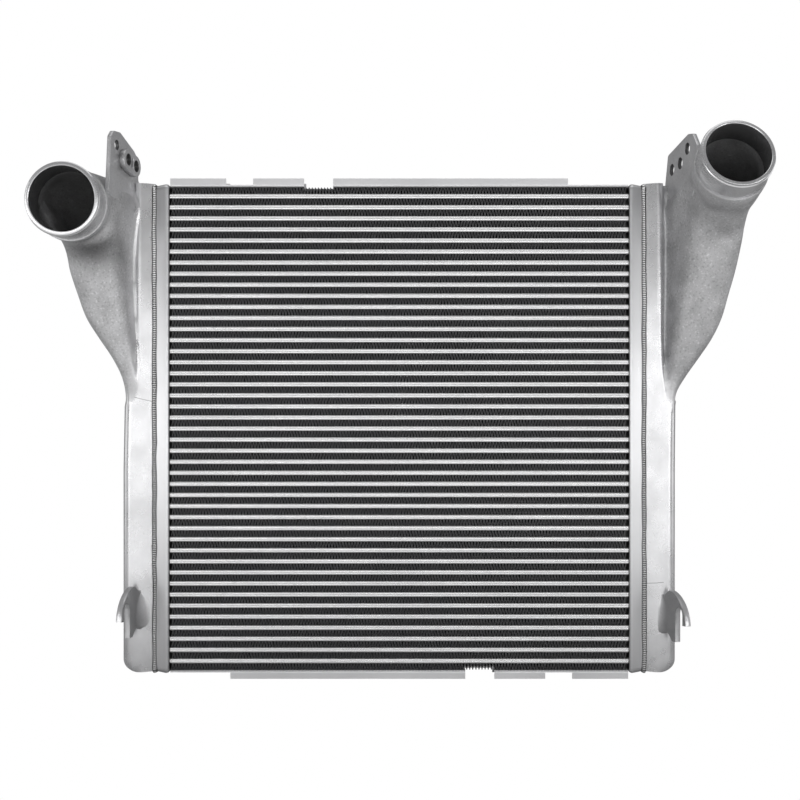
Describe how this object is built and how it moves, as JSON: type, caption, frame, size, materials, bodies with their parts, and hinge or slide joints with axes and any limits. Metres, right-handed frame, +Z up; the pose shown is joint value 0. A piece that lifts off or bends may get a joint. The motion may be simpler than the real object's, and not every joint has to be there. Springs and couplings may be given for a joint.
{
  "type": "intercooler",
  "caption": "Charge-air cooler with a tube-and-fin core between drafted headers and cast side tanks that carry hose ports, bolt ears and hooks.",
  "frame": {"origin": "middle of the underside of the bottom side plate's web", "axes": "+X right as seen from the engine, across the core; +Y away from the engine; +Z up"},
  "size_m": [1.0304, 0.2625, 0.7962],
  "materials": {
    "cast_aluminium": "sand cast",
    "sheet_aluminium": "brazed sheet",
    "fin_aluminium": "thin sheet, dark between the tubes",
    "weld_aluminium": "rippled weld"
  },
  "bodies": {
    "root": {"tube_01": "sheet_aluminium", "tube_02": "sheet_aluminium", "tube_03": "sheet_aluminium", "tube_04": "sheet_aluminium", "tube_05": "sheet_aluminium", "tube_06": "sheet_aluminium", "tube_07": "sheet_aluminium", "tube_08": "sheet_aluminium", "tube_09": "sheet_aluminium", "tube_10": "sheet_aluminium", "tube_11": "sheet_aluminium", "tube_12": "sheet_aluminium", "tube_13": "sheet_aluminium", "tube_14": "sheet_aluminium", "tube_15": "sheet_aluminium", "tube_16": "sheet_aluminium", "tube_17": "sheet_aluminium", "tube_18": "sheet_aluminium", "tube_19": "sheet_aluminium", "tube_20": "sheet_aluminium", "tube_21": "sheet_aluminium", "tube_22": "sheet_aluminium", "tube_23": "sheet_aluminium", "tube_24": "sheet_aluminium", "tube_25": "sheet_aluminium", "tube_26": "sheet_aluminium", "tube_27": "sheet_aluminium", "tube_28": "sheet_aluminium", "tube_29": "sheet_aluminium", "tube_30": "sheet_aluminium", "tube_31": "sheet_aluminium", "tube_32": "sheet_aluminium", "tube_33": "sheet_aluminium", "tube_34": "sheet_aluminium", "tube_35": "sheet_aluminium", "tube_36": "sheet_aluminium", "tube_37": "sheet_aluminium", "tube_38": "sheet_aluminium", "tube_39": "sheet_aluminium", "tube_40": "sheet_aluminium", "tube_41": "sheet_aluminium", "tube_42": "sheet_aluminium", "tube_43": "sheet_aluminium", "turbulators": "sheet_aluminium", "fins": "fin_aluminium", "left_header": "sheet_aluminium", "right_header": "sheet_aluminium", "top_side_plate": "sheet_aluminium", "bottom_side_plate": "sheet_aluminium", "left_tank": "cast_aluminium", "right_tank": "cast_aluminium", "left_weld_bead": "weld_aluminium", "right_weld_bead": "weld_aluminium"}
  },
  "joints": []
}
